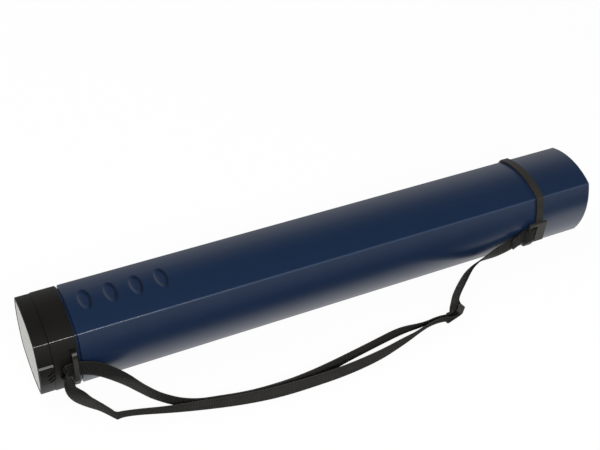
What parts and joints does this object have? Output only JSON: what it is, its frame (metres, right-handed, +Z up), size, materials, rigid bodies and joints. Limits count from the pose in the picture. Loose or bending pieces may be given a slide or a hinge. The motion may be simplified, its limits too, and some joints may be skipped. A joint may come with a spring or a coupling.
{
  "type": "telescopic drawing tube",
  "caption": "Telescopic rounded-square plastic tube for rolled drawings, with push-in lid, closed base and an adjustable webbing shoulder strap.",
  "frame": {"origin": "on the floor below the middle of the closed tube's length", "axes": "+X along the tube from the lid to the base, +Z up, strap on the -Y side"},
  "size_m": [0.669, 0.1744, 0.0948],
  "materials": {
    "blue_plastic": "satin",
    "black_plastic": "satin",
    "webbing": "woven",
    "card": "matte"
  },
  "bodies": {
    "outer": {"outer_tube": "blue_plastic", "strap_ring": "black_plastic", "slider": "black_plastic", "strap_near": "webbing", "strap_far": "webbing"},
    "inner": {"inner_tube": "blue_plastic", "collar": "black_plastic"},
    "lid": {"lid": "black_plastic", "label_card": "card"}
  },
  "joints": [
    {"name": "tube_extend", "type": "slide", "parent": "outer", "child": "inner", "axis": [-1, 0, 0], "range_m": [0, 0.54], "deforming": ["strap_near", "strap_far"]},
    {"name": "lid_pull", "type": "slide", "parent": "inner", "child": "lid", "axis": [-1, 0, 0], "range_m": [0, 0.15]}
  ]
}
